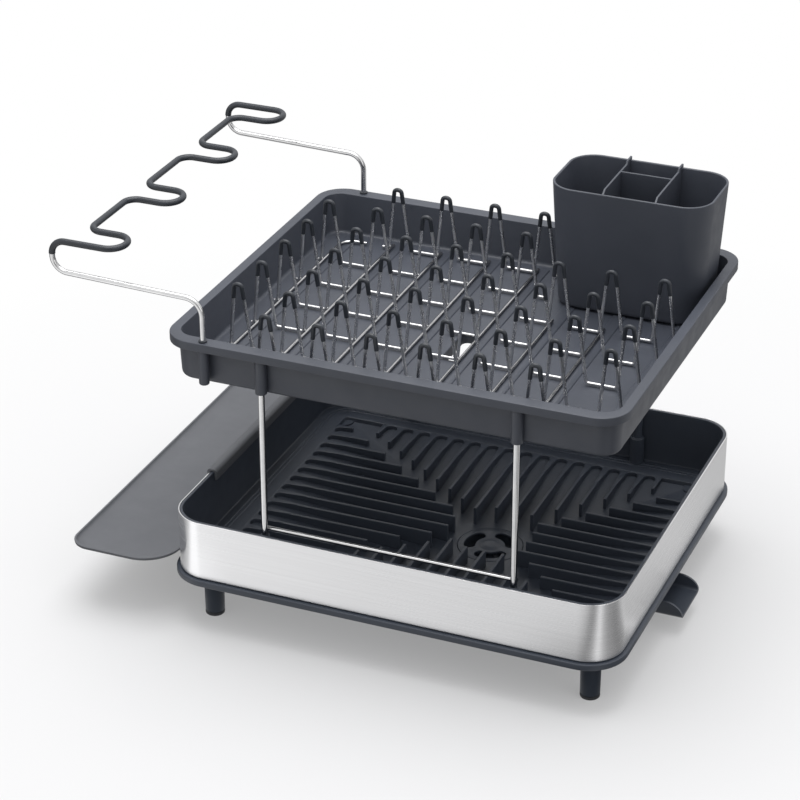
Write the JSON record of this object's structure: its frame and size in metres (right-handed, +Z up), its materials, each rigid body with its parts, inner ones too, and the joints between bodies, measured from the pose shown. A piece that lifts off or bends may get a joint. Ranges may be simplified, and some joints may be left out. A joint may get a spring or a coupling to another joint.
{
  "type": "dish rack",
  "caption": "Two-tier dish rack: ribbed basin in a steel band with swivel spout, wire legs, upper tray with prong rack, cutlery pot, glass holder and side drip tray.",
  "frame": {"origin": "under the middle of the whole object's box, on the plane the feet stand on", "axes": "+X to the right along the long front side, from the side tray towards the spout; -Y towards the front; +Z up"},
  "size_m": [0.5592, 0.383, 0.3793],
  "materials": {
    "plastic": "slate grey moulded plastic with a fine grain",
    "basin_plastic": "dark slate grey moulded plastic",
    "grey_plastic": "grey moulded plastic with a fine grain",
    "rubber": "soft matt",
    "brushed_steel": "brushed lengthwise",
    "chrome": "polished wire",
    "coating": "dip-coated wire, semi-matt"
  },
  "bodies": {
    "base": {"basin": "basin_plastic", "steel_band": "brushed_steel", "foot_front_left": "plastic", "foot_front_right": "plastic", "foot_back_left": "plastic", "foot_back_right": "plastic", "foot_pad_front_left": "rubber", "foot_pad_front_right": "rubber", "foot_pad_back_left": "rubber", "foot_pad_back_right": "rubber", "leg_front_left": "chrome", "leg_front_right": "chrome", "leg_back_left": "chrome", "leg_back_right": "chrome", "leg_bar_front": "chrome", "leg_bar_back": "chrome", "drain_plate": "basin_plastic", "drain_cap": "plastic"},
    "spout": {"spout": "plastic"},
    "upper_tray": {"upper_tray": "plastic"},
    "prong_rack": {"prong_row_1": "chrome", "prong_row_2": "chrome", "prong_row_3": "chrome", "prong_row_4": "chrome", "prong_row_5": "chrome", "prong_row_6": "chrome", "prong_row_7": "chrome", "rack_tie_1": "chrome", "rack_tie_2": "chrome", "rack_tie_3": "chrome", "rack_tie_4": "chrome", "rack_tie_5": "chrome", "rack_tie_6": "chrome", "rack_tie_7": "chrome", "rack_tie_8": "chrome"},
    "cutlery_pot": {"cutlery_pot": "plastic"},
    "pot_divider": {"pot_divider": "plastic"},
    "glass_holder": {"holder_arm_front": "chrome", "holder_arm_back": "chrome", "holder_loop": "coating"},
    "drip_tray": {"drip_tray": "grey_plastic"}
  },
  "joints": [
    {"name": "spout_turn", "type": "hinge", "parent": "base", "child": "spout", "pos_m": [0.07372, 0, 0.02], "axis": [0, 0, 1], "range_deg": [-85.8, 94.2]},
    {"name": "tray_lift", "type": "slide", "parent": "base", "child": "upper_tray", "axis": [0, 0, 1], "range_m": [0, 0.06]},
    {"name": "rack_lift", "type": "slide", "parent": "upper_tray", "child": "prong_rack", "axis": [0, 0, 1], "range_m": [0, 0.08]},
    {"name": "pot_lift", "type": "slide", "parent": "upper_tray", "child": "cutlery_pot", "axis": [0, 0, 1], "range_m": [0, 0.11]},
    {"name": "divider_lift", "type": "slide", "parent": "cutlery_pot", "child": "pot_divider", "axis": [0, 0, 1], "range_m": [0, 0.1]},
    {"name": "holder_lift", "type": "slide", "parent": "upper_tray", "child": "glass_holder", "axis": [0, 0, 1], "range_m": [0, 0.042]},
    {"name": "drip_tray_lift", "type": "slide", "parent": "base", "child": "drip_tray", "axis": [0, 0, 1], "range_m": [0, 0.03]}
  ]
}
